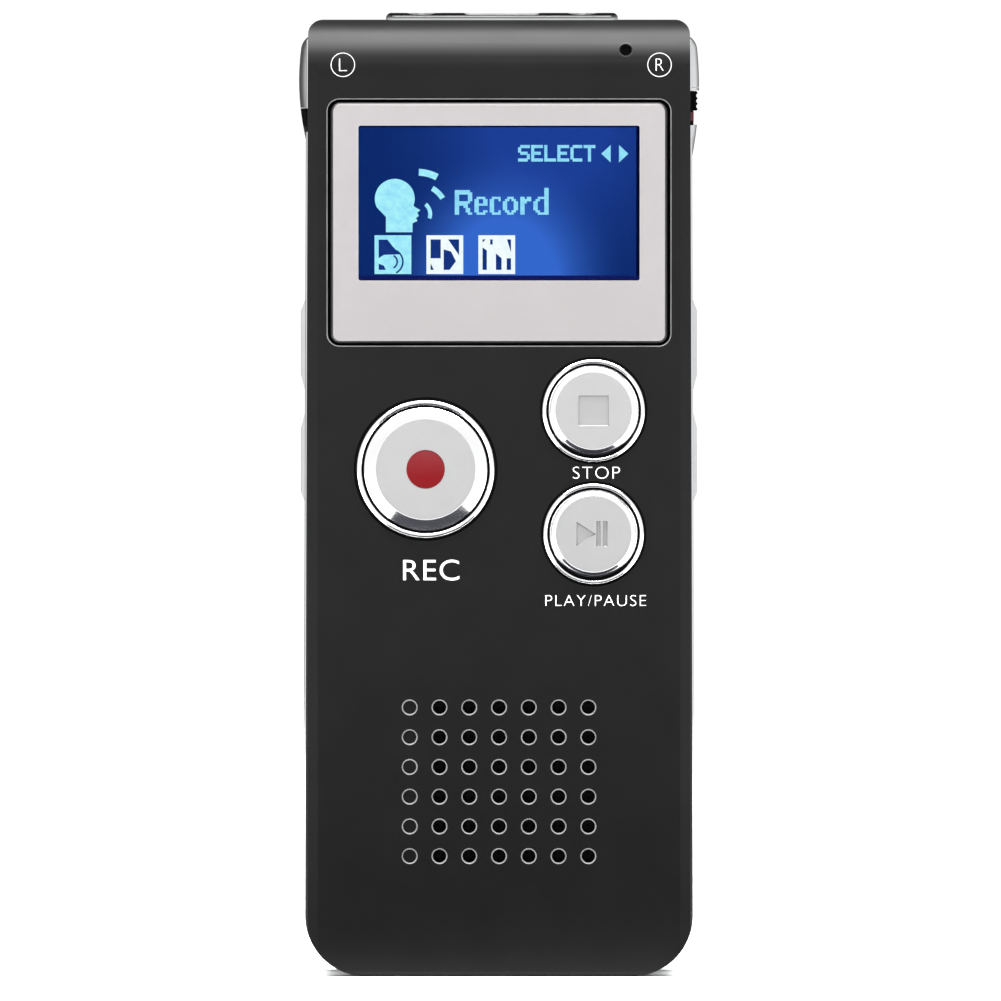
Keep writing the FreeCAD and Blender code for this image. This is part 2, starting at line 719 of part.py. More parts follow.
def hold_liner():
    low, high = HOLD_SLOT
    solid = box(HOLD_FLOOR, HOLD_LINER, -3.28, 3.28, low + 0.03, high - 0.03)
    return solid.cut([hold_neck_slot(18), hold_mark()])


def hold_knob():
    low, high = HOLD_KNOB
    cap = box(HOLD_LINER + 0.04, HOLD_LINER + 0.3, -2.3, 2.3, low, high)
    ridge_count = 4
    pitch = (high - low - 0.3) / (ridge_count - 1)
    ridges = [rod_y(HOLD_LINER + 0.28, low + 0.15 + n * pitch, 0.14, -2.1, 2.1)
              for n in range(ridge_count)]
    neck = box(17.6, HOLD_LINER + 0.1, -0.55, 0.55, 88.55, 89.55)
    flange = box(17.15, 17.85, -1.3, 1.6, 88.05, 90.0)
    fork = box(16.15, 17.2, -0.3, 1.6, 88.05, 89.2)
    return joined([cap, neck, flange, fork] + ridges).cut(hold_lever())


def hold_lever():
    return box(15.1, 16.9, 0.2, 1.0, 88.3, 88.9)


def hold_switch_body():
    body = box(12.6, 15.9, BOARD[1] + 0.02, 1.7, 85.4, 89.6)
    return body.cut(box(15.0, 17, 0.1, 1.1, 86.8, 89.05))


# ---- top end ----
def jack_plate():
    """The plate round the sockets: its front edge is bevelled back, and its ends are round."""
    y0, y1 = PLATE_Y
    x0, x1 = PLATE_X - PLATE_HALF, PLATE_X + PLATE_HALF
    low = CASE_TOP - BACK_WALL
    solid = box(x0, x1, y0, y1, low, PLATE_TOP)
    solid = solid.makeFillet(0.9, edges_along(solid, Vector(0, 0, 1)))
    side = [(y0, low), (y0, PLATE_TOP - 0.34), (y0 + 0.05, PLATE_TOP - 0.3), (y0 + 0.85, PLATE_TOP),
            (y1 - 0.3, PLATE_TOP), (y1, PLATE_TOP - 0.3), (y1, low)]
    solid = solid.common(prism_x(side, x0 - 1, x1 + 1))
    solid = solid.common(rounded_y(x0, x1, 90, PLATE_TOP, 0.5, y0 - 1, y1 + 1))
    flange = box(x0 - 0.8, x1 + 0.8, y0, 4.9, 95.5, low - 0.04)
    stem = box(x0 + 1, x1 - 1, y0 + 0.5, y1 - 0.5, 95.6, 97)
    cutters = [rod_z(PLATE_X + side * JACK_X, JACK_Y, NOZZLE + 0.05, 90, 99) for side in (-1, 1)]
    cutters.append(port_mouth(0.06))
    return joined([solid, flange, stem]).cut(cutters)


def port_mouth(slack):
    """The data port's outer shape, grown by slack."""
    half = PORT_HALF + slack
    solid = box(PLATE_X - half, PLATE_X + half, PORT_Y[0] - slack, PORT_Y[1] + slack, 88, 99)
    return solid.makeFillet(0.8, edges_along(solid, Vector(0, 0, 1)))


def usb_shell():
    outer = port_mouth(0).common(box(-9, 9, -6, 6, 88, SOCKET_END))
    half = PORT_HALF - PORT_WALL
    inner = box(PLATE_X - half, PLATE_X + half, PORT_Y[0] + PORT_WALL, PORT_Y[1] - PORT_WALL, 89, 99)
    inner = inner.makeFillet(0.5, edges_along(inner, Vector(0, 0, 1)))
    feet = [box(x - 0.5, x + 0.5, BOARD[1] + 0.02, 0.5, 89, 90.5) for x in (PLATE_X - 3.0, PLATE_X + 3.0)]
    return joined([outer] + feet).cut(inner)


def usb_tongue():
    return box(PLATE_X - 2.6, PLATE_X + 2.6, 1.5, 2.4, 89, SOCKET_END - 0.8)


def jack(x):
    low = SOCKET_END - JACK_LENGTH - 1.2
    body = box(x - 3.1, x + 3.1, BOARD[1] + 0.05, 4.75, low, 94.3)
    nozzle = rod_z(x, JACK_Y, NOZZLE, 94.2, SOCKET_END)
    bore = rod_z(x, JACK_Y, JACK_BORE, SOCKET_END - JACK_LENGTH, 99)
    return joined([body, nozzle]).cut(bore)


def led_lens():
    """The smoked lens behind the lamp's hole."""
    return rod_y(LED_X, LED_LENS_Z, LED_LENS, -4.1, BOARD[0] - 0.85)


def record_led():
    z = LED_LENS_Z
    return box(LED_X - 0.8, LED_X + 0.8, BOARD[0] - 0.8, BOARD[0] - 0.02, z - 0.4, z + 0.4)


def mic_capsules():
    capsule = rod_x(0.0, MIC_Z, 2.0, 16.1, 17.6)
    return Part.makeCompound([capsule, mirrored(capsule)])


def mic_boots():
    """Rubber sleeves that hold the capsules against the frame's sound holes."""
    sleeve = rod_x(0.0, MIC_Z, 2.4, 16.0, 17.95).cut(rod_x(0.0, MIC_Z, 2.03, 15.9, 17.63))
    sleeve = sleeve.cut(rod_x(0.0, MIC_Z, 1.7, 17, 19))
    return Part.makeCompound([sleeve, mirrored(sleeve)])


# ---- loudspeaker ----
def speaker_basket():
    rim = SPEAKER_RADIUS
    profile = [(10.3, -5.0), (rim, -5.0), (rim, -3.2), (6.9, -1.9), (6.9, -2.3),
               (rim - 0.4, -3.5), (rim - 0.4, -4.6), (10.3, -4.6)]
    return turned_y(profile, 0, GRILLE_Z)


def speaker_cone():
    front = [(0, -4.2), (1.6, -4.1), (2.8, -3.75), (3.4, -3.2), (9.2, -4.3), (9.7, -4.7), (10.2, -4.7)]
    rear = [(10.2, -4.4), (9.85, -4.4), (9.35, -4.0), (3.35, -2.85), (2.6, -3.45), (1.4, -3.8), (0, -3.9)]
    return turned_y(front + rear, 0, GRILLE_Z)


def speaker_magnet():
    solid = rod_y(0, GRILLE_Z, 6.85, -2.5, -0.9)
    return solid.makeFillet(0.3, edges_in_plane_y(solid, -0.9))


def speaker_cloth(slack=0.0, back=-5.06):
    """The gauze behind the grille, or, grown by slack, the pocket that it lies in."""
    half_x = GRILLE_PITCH * 3 + 1.6 + slack
    half_z = GRILLE_PITCH * 2.5 + 1.6 + slack
    front = FRONT + COVER_WALL + 0.03
    return rounded_y(-half_x, half_x, GRILLE_Z - half_z, GRILLE_Z + half_z, 1.5, front, back)


# ---- board and power ----
def main_board():
    solid = box(-BOARD_HALF, BOARD_HALF, *BOARD, *BOARD_Z)
    solid = solid.makeFillet(1.0, edges_along(solid, Vector(0, 1, 0)))
    return solid.cut([rod_y(x, z, BOSS + 0.15, -2, 1) for x, z in SCREWS])


def soc_chip():
    return box(-6.0, 4.0, BOARD[1] + 0.02, 0.9, 62.5, 72.5)


def flash_chip():
    return box(-9.2, 9.2, BOARD[1] + 0.02, 0.8, 38.0, 50.0)


def passives():
    """Chip resistors and capacitors in rows on the back of the board, and the crystal's can."""
    pieces = []
    for row, z in enumerate((53.5, 56.0, 58.5, 75.0, 77.5)):
        for n in range(6):
            x = -10.5 + 3.6 * n + 0.6 * (row % 2)
            pieces.append(box(x - 0.8, x + 0.8, BOARD[1] + 0.02, 0.1, z - 0.4, z + 0.4))
    pieces.append(rounded_y(6.0, 11.0, 66.0, 69.2, 1.4, BOARD[1] + 0.02, 0.85))
    return Part.makeCompound(pieces)


def battery():
    pouch = box(-12.9, 12.9, 1.1, 4.6, 35.5, 77.0)
    pouch = pouch.makeFillet(1.0, pouch.Edges)
    flap = box(-11.0, 11.0, 2.3, 3.0, 76.0, 79.0)
    return joined([pouch, flap])


def battery_tape():
    return box(-10, 10, 4.65, 4.95, 40, 70)


def battery_leads():
    leads = []
    for x in (-1.6, 1.6):
        route = [(x, 2.65, 79.05), (x * 1.1, 2.5, 80.9), (x * 1.5, 0.9, 82.3),
                 (x * 1.7, 0.1, 83.6), (x * 1.7, BOARD[1] + 0.45, 85.2)]
        leads.append(tube(route, 0.4))
    return Part.makeCompound(leads)


def speaker_leads():
    leads = []
    for x in (-1.4, 1.4):
        route = [(x, -2.2, 31.6), (x * 1.2, -2.1, 33.0), (x * 1.5, -2.3, 34.4),
                 (x * 1.6, BOARD[0] - 0.42, 36.2)]
        leads.append(tube(route, 0.35))
    return Part.makeCompound(leads)


def rear_screws():
    screws = []
    for x, z in SCREWS:
        head = rod_y(x, z, 1.3, BACK - 1.0, BACK - 0.25)
        head = head.makeFillet(0.25, edges_in_plane_y(head, BACK - 0.25))
        shank = rod_y(x, z, SCREW, -1.4, BACK - 0.95)
        slots = [box(x - 0.8, x + 0.8, BACK - 0.7, BACK, z - 0.16, z + 0.16),
                 box(x - 0.16, x + 0.16, BACK - 0.7, BACK, z - 0.8, z + 0.8)]
        screws.append(joined([head, shank]).cut(slots))
    return Part.makeCompound(screws)


PIECES = {
    "front_cover": front_cover,
    "rear_cover": rear_cover,
    "mid_frame": mid_frame,
    "strap_bar": strap_bar,
    "left_mic_cap": lambda: mirrored(mic_cap(LEFT_DOME)),
    "right_mic_cap": lambda: mic_cap(RIGHT_DOME),
    "inner_chassis": inner_chassis,
    "window_bezel": window_bezel,
    "window_lens": window_lens,
    "lcd_glass": lcd_glass,
    "lcd_frame": lcd_frame,
    "lcd_backlight": lcd_backlight,
    "lcd_flex": lcd_flex,
    "rec_ring": lambda: key_ring(REC),
    "rec_cap": lambda: key_cap(REC),
    "rec_inlay": lambda: key_inlay(REC, [rod_y(REC["x"], REC["z"], DOT_RADIUS + 0.02, -8, 0)]),
    "rec_dot": rec_dot,
    "rec_plunger": lambda: plunger(REC),
    "stop_ring": lambda: key_ring(STOP),
    "stop_cap": lambda: key_cap(STOP),
    "stop_inlay": lambda: key_inlay(STOP, stop_icon()),
    "stop_plunger": lambda: plunger(STOP),
    "play_ring": lambda: key_ring(PLAY),
    "play_cap": lambda: key_cap(PLAY),
    "play_inlay": lambda: key_inlay(PLAY, play_icon()),
    "play_plunger": lambda: plunger(PLAY),
    "front_tact_switches": front_tact_switches,
    "volume_rocker": lambda: mirrored(rocker(volume_marks())),
    "volume_plungers": lambda: mirrored(rocker_plungers()),
    "track_rocker": lambda: rocker(track_marks()),
    "track_plungers": rocker_plungers,
    "rocker_pins": rocker_pins,
    "side_tact_switches": side_tact_switches,
    "hold_liner": hold_liner,
    "hold_mark": hold_mark,
    "hold_knob": hold_knob,
    "hold_lever": hold_lever,
    "hold_switch_body": hold_switch_body,
    "jack_plate": jack_plate,
    "usb_shell": usb_shell,
    "usb_tongue": usb_tongue,
    "headphone_jack": lambda: jack(PLATE_X - JACK_X),
    "line_in_jack": lambda: jack(PLATE_X + JACK_X),
    "led_lens": led_lens,
    "record_led": record_led,
    "mic_capsules": mic_capsules,
    "mic_boots": mic_boots,
    "speaker_basket": speaker_basket,
    "speaker_cone": speaker_cone,
    "speaker_magnet": speaker_magnet,
    "speaker_cloth": speaker_cloth,
    "main_board": main_board,
    "soc_chip": soc_chip,
    "flash_chip": flash_chip,
    "passives": passives,
    "battery": battery,
    "battery_tape": battery_tape,
    "battery_leads": battery_leads,
    "speaker_leads": speaker_leads,
    "rear_screws": rear_screws,
}


def main():
    os.makedirs("parts", exist_ok=True)
    for name, make in PIECES.items():
        shape = make()
        good = shape.isValid() and shape.Volume > 0
        print(f"{name:22} solids {len(shape.Solids)} volume {shape.Volume:9.3f} {'' if good else 'BAD'}")
        shape.exportStep(f"parts/{name}.step")


main()
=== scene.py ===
import math

import bmesh
import bpy
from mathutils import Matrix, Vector


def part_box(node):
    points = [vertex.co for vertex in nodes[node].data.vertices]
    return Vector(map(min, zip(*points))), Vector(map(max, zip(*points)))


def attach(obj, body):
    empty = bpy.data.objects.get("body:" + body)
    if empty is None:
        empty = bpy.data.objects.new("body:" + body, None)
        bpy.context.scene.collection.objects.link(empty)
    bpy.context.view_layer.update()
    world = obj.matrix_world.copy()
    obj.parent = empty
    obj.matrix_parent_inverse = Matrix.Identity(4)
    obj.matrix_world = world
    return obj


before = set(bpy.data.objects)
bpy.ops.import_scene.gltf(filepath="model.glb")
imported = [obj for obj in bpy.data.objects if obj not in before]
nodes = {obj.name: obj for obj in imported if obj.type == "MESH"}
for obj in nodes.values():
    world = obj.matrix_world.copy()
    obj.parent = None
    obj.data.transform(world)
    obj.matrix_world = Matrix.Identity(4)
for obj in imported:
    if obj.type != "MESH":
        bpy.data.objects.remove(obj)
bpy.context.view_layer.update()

MM = 0.001
CASE = "case"
cover_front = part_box("front_cover")[0].y / MM
LAMP_HOLE = (12.88, 94.3)  # centre of the record lamp's hole, X and Z in mm
SMUDGE_ROUGH = 0.1  # how much rougher the chrome is where it is smudged
SHADE_BLACK = (0.006, 0.006, 0.006)  # painted shade: chrome and silver deep in a gap


# ---- shader helpers ----
class Shader:
    """A material's node tree, with short names for the nodes that the surfaces below share."""

    def __init__(self, name):
        self.material = bpy.data.materials.new(name)
        self.material.use_nodes = True
        self.tree = self.material.node_tree
        self.tree.nodes.clear()
        self.output = self.add("ShaderNodeOutputMaterial")
        self.place = self.add("ShaderNodeTexCoord").outputs["Object"]

    def add(self, kind, **settings):
        node = self.tree.nodes.new(kind)
        for key, value in settings.items():
            setattr(node, key, value)
        return node

    def link(self, source, target):
        self.tree.links.new(source, target)

    def stretched(self, scale):
        """The object's coordinates, scaled on each axis."""
        mapping = self.add("ShaderNodeMapping")
        self.link(self.place, mapping.inputs["Vector"])
        mapping.inputs["Scale"].default_value = scale
        return mapping.outputs["Vector"]

    def noise(self, size, detail=2.0, roughness=0.5, stretch=None):
        """Noise whose features are about size metres across."""
        node = self.add("ShaderNodeTexNoise")
        self.link(self.stretched(stretch) if stretch else self.place, node.inputs["Vector"])
        node.inputs["Scale"].default_value = 1.0 / size
        node.inputs["Detail"].default_value = detail
        node.inputs["Roughness"].default_value = roughness
        return node.outputs["Fac"]

    def spread(self, value, low, high, start=0.3, end=0.7):
        """The value from start to end, spread over low to high."""
        node = self.add("ShaderNodeMapRange", clamp=True)
        self.link(value, node.inputs["Value"])
        node.inputs["From Min"].default_value = start
        node.inputs["From Max"].default_value = end
        node.inputs["To Min"].default_value = low
        node.inputs["To Max"].default_value = high
        return node.outputs["Result"]

    def mix(self, share, first, second):
        """A blend of two colours, each a tuple or a socket."""
        node = self.add("ShaderNodeMix", data_type="RGBA")
        self.link(share, node.inputs["Factor"])
        for name, value in (("A", first), ("B", second)):
            socket = [s for s in node.inputs if s.name == name and s.type == "RGBA"][0]
            if isinstance(value, tuple):
                socket.default_value = (*value, 1.0)
            else:
                self.link(value, socket)
        return [s for s in node.outputs if s.type == "RGBA"][0]

    def maths(self, operation, first, second):
        node = self.add("ShaderNodeMath", operation=operation)
        for socket, value in zip(node.inputs, (first, second)):
            if isinstance(value, (int, float)):
                socket.default_value = value
            else:
                self.link(value, socket)
        return node.outputs[0]

    def bump(self, height, depth, below=None):
        """A normal raised by height times depth metres."""
        node = self.add("ShaderNodeBump")
        node.inputs["Strength"].default_value = 1.0
        node.inputs["Distance"].default_value = depth
        self.link(height, node.inputs["Height"])
        if below is not None:
            self.link(below, node.inputs["Normal"])
        return node.outputs["Normal"]

    def edges(self, radius, sharpness=6.0):
        """Near 1 along the edges of the solid, 0 on its flats."""
        bevel = self.add("ShaderNodeBevel", samples=6)
        bevel.inputs["Radius"].default_value = radius
        geometry = self.add("ShaderNodeNewGeometry")
        dot = self.add("ShaderNodeVectorMath", operation="DOT_PRODUCT")
        self.link(bevel.outputs["Normal"], dot.inputs[0])
        self.link(geometry.outputs["Normal"], dot.inputs[1])
        away = self.maths("SUBTRACT", 1.0, dot.outputs["Value"])
        return self.spread(self.maths("MULTIPLY", away, sharpness), 0.0, 1.0, 0.0, 1.0)

    def principled(self, colour, **settings):
        node = self.add("ShaderNodeBsdfPrincipled")
        if isinstance(colour, tuple):
            node.inputs["Base Color"].default_value = (*colour, 1.0)
        else:
            self.link(colour, node.inputs["Base Color"])
        for name, value in settings.items():
            socket = node.inputs[name.replace("_", " ")]
            if isinstance(value, (int, float)):
                socket.default_value = value
            else:
                self.link(value, socket)
        self.link(node.outputs["BSDF"], self.output.inputs["Surface"])
        return node


def coated(name, colour, lighter, rough, grain, depth, wear=None, specular=0.5):
    """Paint, anodising or moulding: a fine grain, faint patches of colour and gloss, and rubbed edges."""
    s = Shader(name)
    patches = s.noise(0.006, 3.0, 0.6)
    tint = s.mix(s.spread(patches, 0.0, 1.0), colour, lighter)
    if wear:
        rubbed = s.maths("MULTIPLY", s.edges(0.00012), s.spread(s.noise(0.0012, 4.0), 0.1, 1.0))
        tint = s.mix(rubbed, tint, wear)
    smears = s.noise(0.011, 4.0, 0.6, (1.0, 1.0, 0.6))
    s.principled(
        tint,
        Roughness=s.spread(smears, rough - 0.035, rough + 0.035),
        Specular_IOR_Level=specular,
        Normal=s.bump(s.noise(grain, 2.0, 0.6), depth),
    )
    return s.material


def plated(name, colour, duller, rough):
    """Chrome plate: near mirror, with faint orange peel, smudges and hairline scratches."""
    s = Shader(name)
    smudges = s.noise(0.004, 4.0, 0.6)
    tint = s.mix(s.spread(smudges, 0.0, 1.0, 0.35, 0.8), colour, duller)
    s.principled(
        tint,
        Metallic=1.0,
        Roughness=s.spread(smudges, rough, rough + SMUDGE_ROUGH, 0.4, 0.85),
        Normal=plate_relief(s),
    )
    return s.material


def plate_relief(s):
    """The hairline scratches and faint orange peel of the chrome, as a normal."""
    scratches = s.noise(0.0005, 2.0, 0.4, (1.0, 1.0, 0.06))
    return s.bump(scratches, 0.0000003, s.bump(s.noise(0.0022, 1.0), 0.0000012))


def red_enamel(name, colour, lighter, rough, specular):
    """Red enamel in a round pool, with painted light making it a little lighter towards its top."""
    s = Shader(name)
    low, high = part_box("rec_dot")
    painted_top_light = s.spread(parts_of(s, s.place)[2], 0.0, 1.0, low.z + 0.3 * (high.z - low.z), high.z)
    smears = s.noise(0.0014, 3.0, 0.6)
    s.principled(
        s.mix(s.maths("MULTIPLY", painted_top_light, s.spread(smears, 0.8, 1.0)), colour, lighter),
        Roughness=s.spread(smears, rough - 0.03, rough + 0.03),
        Specular_IOR_Level=specular,
        Normal=s.bump(s.noise(0.0004, 2.0, 0.6), 0.000002),
    )
    return s.material


def shaded_chrome(name, colour, duller, rough, dark):
    """Chrome plate with stretches painted dark, as painted shade and painted dark reflections: dark says how
    much, from the tree and the place on it.
    """
    s = Shader(name)
    smudges = s.noise(0.004, 4.0, 0.6)
    tint = s.mix(s.spread(smudges, 0.0, 1.0, 0.35, 0.8), colour, duller)
    s.principled(
        s.mix(dark(s, *parts_of(s, s.place)), tint, (0.004, 0.004, 0.004)),
        Metallic=1.0,
        Roughness=s.spread(smudges, rough, rough + SMUDGE_ROUGH, 0.4, 0.85),
        Normal=plate_relief(s),
    )
    return s.material


def strap_slot_shade(s, x, y, z):
    """Painted shade: 1 inside the slot that the strap bar crosses, on the left shoulder."""
    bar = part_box("strap_bar")
    inner = s.maths("LESS_THAN", x, -19.0 * MM)
    return s.maths("MULTIPLY", inner, within(s, z, bar[0].z - 0.03 * MM, bar[1].z + 0.03 * MM))


def plate_brow_reflection(s, x, y, z):
    """Painted dark reflection: from 0 on the front of the socket plate to nearly 1 at the top of its bevel.
    """
    low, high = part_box("jack_plate")
    front = s.maths("LESS_THAN", y, low.y + 0.84 * MM)
    return s.maths("MULTIPLY", front, s.spread(z, 0.0, 0.9, high.z - 0.78 * MM, high.z - 0.38 * MM))


def satin(name, colour, shade, rough, stretch):
    """Satin metal with a fine grain, drawn out along the axes that stretch makes small."""
    s = Shader(name)
    lines = s.noise(0.00006, 3.0, 0.6, stretch)
    cloud = s.noise(0.007, 3.0)
    tint = s.mix(s.spread(cloud, 0.0, 0.6), colour, shade)
    tint = s.mix(s.spread(lines, 0.0, 0.25), tint, shade)
    s.principled(
        tint,
        Metallic=1.0,
        Roughness=s.spread(lines, rough - 0.04, rough + 0.05),
        Normal=s.bump(lines, 0.0000012),
    )
    return s.material


def clear(name, colour, rough, ior):
    """Clear moulded plastic with the faintest smears."""
    s = Shader(name)
    smears = s.noise(0.005, 3.0)
    s.principled(
        colour,
        Roughness=s.spread(smears, rough, rough + 0.02),
        Transmission_Weight=1.0,
        IOR=ior,
        Normal=s.bump(s.noise(0.003, 1.0), 0.0000004),
    )
    return s.material


def within(s, value, low, high):
    """1 where the value is between low and high, else 0."""
    above = s.maths("GREATER_THAN", value, low)
    return s.maths("MULTIPLY", above, s.maths("LESS_THAN", value, high))


def parts_of(s, vector):
    """The X, Y and Z of a vector socket."""
    node = s.add("ShaderNodeSeparateXYZ")
    s.link(vector, node.inputs["Vector"])
    return node.outputs["X"], node.outputs["Y"], node.outputs["Z"]


def slanted(s, low, high):
    """1 where the solid's face leans so that the Y of its normal is between low and high, else 0."""
    facing = parts_of(s, s.add("ShaderNodeTexCoord").outputs["Normal"])
    return within(s, s.maths("ABSOLUTE", facing[1], 0.0), low, high)


def anodised_cover(name, colour, lighter, rough, specular):
    """Matt black anodising, with fine lighter chamfers of bare cut metal that carry a painted sheen, and
    painted shade making the walls in the openings black.
    """
    s = Shader(name)
    x, y, z = parts_of(s, s.place)
    shallow = s.maths("LESS_THAN", y, (cover_front + 0.145) * MM)
    clear_of_keys = s.maths("MAXIMUM", within(s, z, 2.0 * MM, 31.0 * MM), within(s, z, 63.5 * MM, 90.0 * MM))
    # The chamfers are bare cut metal, painted an evenly lit light grey that also stands in for the metal's
    # shine: a painted sheen.
    cut = s.maths("MULTIPLY", s.maths("MULTIPLY", slanted(s, 0.5, 0.88), shallow), clear_of_keys)
    across = s.maths("POWER", s.maths("SUBTRACT", x, LAMP_HOLE[0] * MM), 2.0)
    up = s.maths("POWER", s.maths("SUBTRACT", z, LAMP_HOLE[1] * MM), 2.0)
    from_lamp = s.maths("SQRT", s.maths("ADD", across, up), 0.0)
    # The same bare metal and painted sheen, faint, in a ring round the lamp's hole.
    lamp_rim_bare_and_sheen = within(s, from_lamp, 0.62 * MM, 0.73 * MM)
    cut = s.maths("MAXIMUM", cut, s.maths("MULTIPLY", lamp_rim_bare_and_sheen, 0.12))
    patches = s.noise(0.006, 3.0, 0.6)
    tint = s.mix(s.spread(patches, 0.0, 1.0), colour, lighter)
    rubbed = s.maths("MULTIPLY", s.edges(0.0001), s.spread(s.noise(0.0012, 4.0), 0.0, 0.35))
    tint = s.mix(rubbed, tint, (0.03, 0.03, 0.031))
    bare_and_sheen = s.mix(s.spread(s.noise(0.003, 3.0), 0.0, 1.0), (0.10, 0.10, 0.102), (0.17, 0.17, 0.173))
    tint = s.mix(cut, tint, bare_and_sheen)
    # Painted shade: the walls inside the openings and inside the lamp's hole are painted near black, and made
    # rough.
    inside = s.maths("MULTIPLY", within(s, x, -18.3 * MM, 18.3 * MM), within(s, z, 2.0 * MM, 90.0 * MM))
    right_of_blind = s.maths("GREATER_THAN", x, -8.2 * MM)
    above_blind = s.maths("GREATER_THAN", z, 32.0 * MM)
    inside = s.maths("MULTIPLY", inside, s.maths("MAXIMUM", right_of_blind, above_blind))
    walls = s.maths("MULTIPLY", inside, s.maths("GREATER_THAN", y, (cover_front + 0.16) * MM))
    walls = s.maths("MAXIMUM", walls, s.maths("LESS_THAN", from_lamp, 0.61 * MM))
    tint = s.mix(walls, tint, (0.0006, 0.0006, 0.0006))
    smears = s.noise(0.011, 4.0, 0.6, (1.0, 1.0, 0.6))
    gloss = s.spread(smears, rough - 0.03, rough + 0.03)
    s.principled(
        tint,
        Roughness=s.maths("MAXIMUM", gloss, s.maths("MULTIPLY", walls, 0.9)),
        Specular_IOR_Level=specular,
        Normal=s.bump(s.noise(0.00009, 2.0, 0.6), 0.0000014),
    )
    return s.material


def key_plating(name, colour, duller, rough, painted_lip_reflection=0.0):
    """Chrome plate on the keys: bright in front, with painted shade making it black down the sides and deep
    in the gaps.

    painted_lip_reflection sets a painted dark reflection on the slope that faces down: 0 leaves it bright,
    and 1 makes it the full dark tint.
    """
    s = Shader(name)
    y = parts_of(s, s.place)[1]
    upward = parts_of(s, s.add("ShaderNodeTexCoord").outputs["Normal"])[2]
    smudges = s.noise(0.004, 4.0, 0.6)
    tint = s.mix(s.spread(smudges, 0.0, 1.0, 0.35, 0.8), colour, duller)
    low = s.maths("GREATER_THAN", y, (cover_front + 0.4) * MM)
    # Painted dark reflection on the slope that faces down.
    tint = s.mix(s.spread(upward, painted_lip_reflection, 0.0, -0.62, -0.44), tint, (0.035, 0.035, 0.042))
    # Painted shade: black deep behind the front and down the sides.
    tint = s.mix(s.maths("MAXIMUM", low, slanted(s, -0.1, 0.25)), tint, SHADE_BLACK)
    s.principled(
        tint,
        Metallic=1.0,
        Roughness=s.spread(smudges, rough, rough + 0.08, 0.4, 0.85),
        Normal=plate_relief(s),
    )
    return s.material


def silver_bezel(name, colour, shade, dark, bright):
    """Satin silver paint, with painted shade on its chamfer, painted highlights along its edges, and painted
    shade making its sides black.
    """
    s = Shader(name)
    y = parts_of(s, s.place)[1]
    outer = s.maths("GREATER_THAN", y, (cover_front - 0.13) * MM)
    shaded = s.maths("MULTIPLY", slanted(s, 0.3, 0.88), outer)
    depth = s.spread(y, 0.0, 1.0, (cover_front - 0.12) * MM, (cover_front + 0.16) * MM)
    cloud = s.noise(0.007, 3.0)
    speckle = s.noise(0.00007, 3.0, 0.6)
    tint = s.mix(s.spread(cloud, 0.0, 0.5), colour, shade)
    tint = s.mix(s.spread(speckle, 0.0, 0.2), tint, shade)
    # Painted highlight along the edges.
    tint = s.mix(s.maths("MULTIPLY", s.edges(0.00007, 9.0), 0.9), tint, bright)
    # Painted shade on the chamfer, from lip at its front to dark at its back.
    lip = tuple(0.35 * part for part in colour)
    tint = s.mix(shaded, tint, s.mix(depth, lip, dark))
    # Painted shade: the sides are painted black.
    tint = s.mix(slanted(s, -0.1, 0.3), tint, SHADE_BLACK)
    s.principled(
        tint,
        Metallic=1.0,
        Roughness=s.spread(speckle, 0.46, 0.54),
        Normal=s.bump(speckle, 0.0000010),
    )
    return s.material


def engraved_inlay(name, colour, shade, engraving_shade):
    """Satin silver with painted shade: its engraved marks are a little darker, most of all on walls that face
    up.
    """
    s = Shader(name)
    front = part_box("stop_inlay")[0].y
    deep = s.maths("GREATER_THAN", parts_of(s, s.place)[1], front + 0.08 * MM)
    cloud = s.noise(0.006, 3.0)
    speckle = s.noise(0.00012, 3.0, 0.6)
    tint = s.mix(s.spread(cloud, 0.0, 0.5), colour, shade)
    # Painted shade deep in the engraved marks.
    tint = s.mix(deep, tint, engraving_shade)
    upward = parts_of(s, s.add("ShaderNodeTexCoord").outputs["Normal"])[2]
    # Painted shade, darkest on the walls that face up.
    tint = s.mix(s.maths("GREATER_THAN", upward, 0.25), tint, (0.17, 0.17, 0.17))
    s.principled(
        tint,
        Metallic=1.0,
        Roughness=s.spread(speckle, 0.45, 0.53),
        Normal=s.bump(speckle, 0.0000014),
    )
    return s.material


# ---- materials of the CAD nodes ----
BLACK = (0.0016, 0.0016, 0.0017)
BLACK_LIGHTER = (0.0024, 0.0024, 0.0025)
black_anodised = anodised_cover("black_anodised", BLACK, BLACK_LIGHTER, 0.41, 0.15)
black_moulding = coated("black_moulding", BLACK, BLACK_LIGHTER, 0.52, 0.00022, 0.000006,
                        wear=(0.02, 0.02, 0.02), specular=0.35)
black_plastic = coated("black_plastic", (0.01, 0.01, 0.01), (0.014, 0.014, 0.014), 0.4, 0.0002, 0.000003,
                       wear=(0.03, 0.03, 0.03))
deep_black = coated("deep_black", (0.002, 0.002, 0.002), (0.003, 0.003, 0.003), 0.6, 0.0002, 0.000002,
                    specular=0.0)
chrome = plated("chrome", (0.64, 0.645, 0.655), (0.55, 0.555, 0.565), 0.05)
frame_chrome = shaded_chrome("frame_chrome", (0.68, 0.685, 0.695), (0.60, 0.605, 0.615), 0.05, strap_slot_shade)
plate_chrome = shaded_chrome("plate_chrome", (0.86, 0.865, 0.875), (0.76, 0.765, 0.775), 0.12, plate_brow_reflection)
# Both paint shade black down the sides of the keys; the second also paints a dark reflection on the caps'
# downward slope.
key_chrome = key_plating("key_chrome", (0.90, 0.90, 0.91), (0.82, 0.82, 0.83), 0.1)
small_key_chrome = key_plating("small_key_chrome", (0.90, 0.90, 0.91), (0.82, 0.82, 0.83), 0.1, 1.0)
steel = satin("steel", (0.62, 0.62, 0.63), (0.5, 0.5, 0.5), 0.3, (1.0, 1.0, 0.1))
